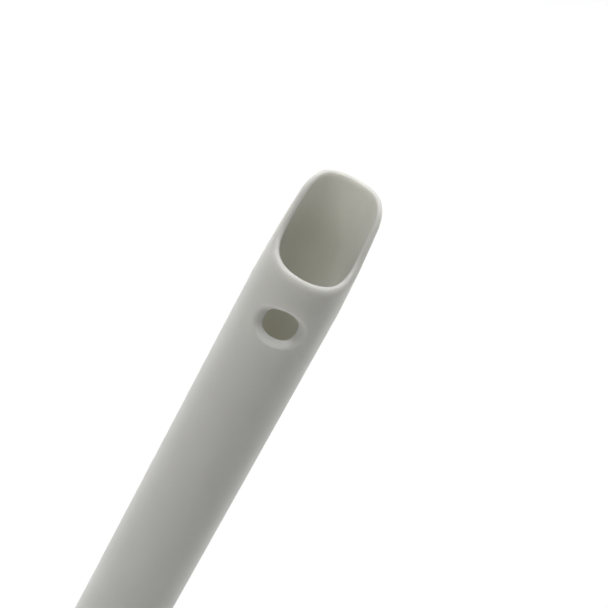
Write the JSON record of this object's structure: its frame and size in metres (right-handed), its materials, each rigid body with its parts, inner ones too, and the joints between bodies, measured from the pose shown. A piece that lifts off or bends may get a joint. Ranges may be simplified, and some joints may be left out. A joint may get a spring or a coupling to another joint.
{
  "type": "dental suction tip",
  "caption": "Straight moulded suction tube with a scooped round-lipped mouth and a dished oval vent hole below it, to be plugged into an evacuator valve.",
  "frame": {"origin": "centre of the tail end's face, on the tube's axis", "axes": "+Z along the tube from the tail to the mouth; the mouth and the vent face -Y; +X to the right when the mouth is looked at"},
  "size_m": [0.011, 0.011, 0.14],
  "materials": {
    "moulded_plastic": "fine satin, off-white"
  },
  "bodies": {
    "root": {"evacuator_tube": "moulded_plastic"}
  },
  "joints": []
}
